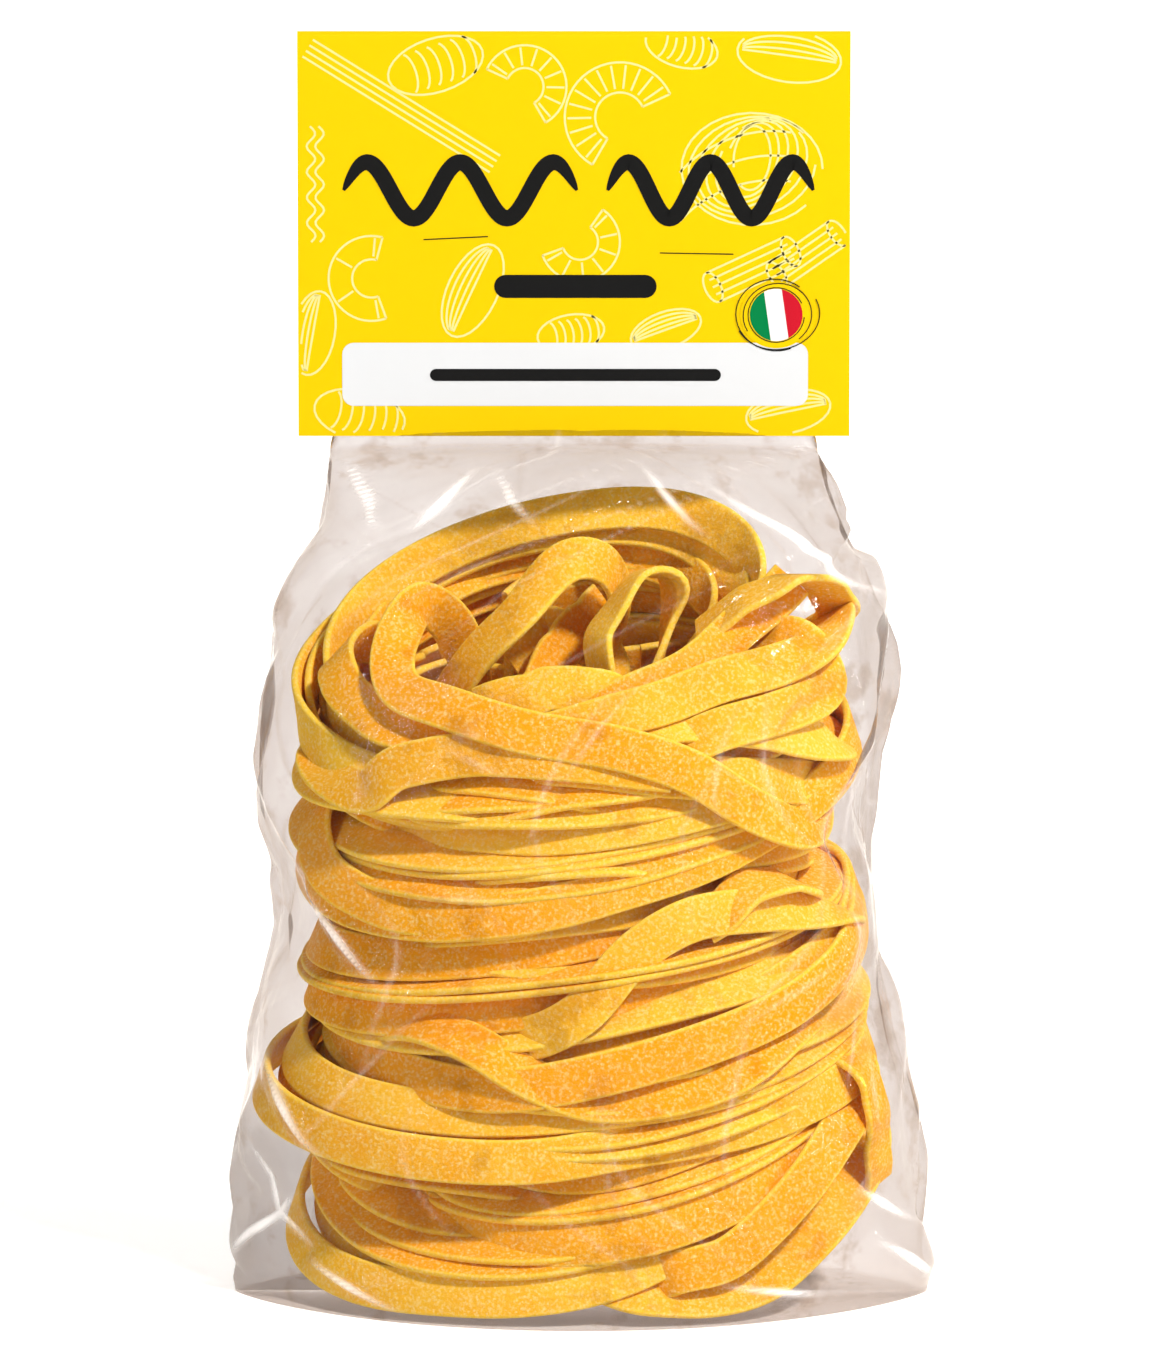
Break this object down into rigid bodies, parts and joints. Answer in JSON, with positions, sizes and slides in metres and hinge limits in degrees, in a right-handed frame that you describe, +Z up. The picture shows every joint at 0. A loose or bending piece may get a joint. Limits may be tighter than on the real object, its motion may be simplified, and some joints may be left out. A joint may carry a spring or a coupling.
{
  "type": "bag of dry pasta nests",
  "caption": "Clear standing bag filled with a stack of dry tagliatelle nests, closed at the top by a folded header card.",
  "frame": {"origin": "centre of the bounding box at the bag's flat base, on the surface it stands on", "axes": "+Z up, -Y towards the front of the bag and card, +X to the right seen from the front"},
  "size_m": [0.1169, 0.0672, 0.2095],
  "materials": {
    "clear_film": "thin crinkled clear film, glossy, over egg-yellow pasta",
    "yellow_card": "printed coated board, satin, standing in for card",
    "dry_pasta": "dry egg pasta, matt and finely rough with pale flour specks"
  },
  "bodies": {
    "root": {"bag": "clear_film", "header_card": "yellow_card"}
  },
  "joints": []
}
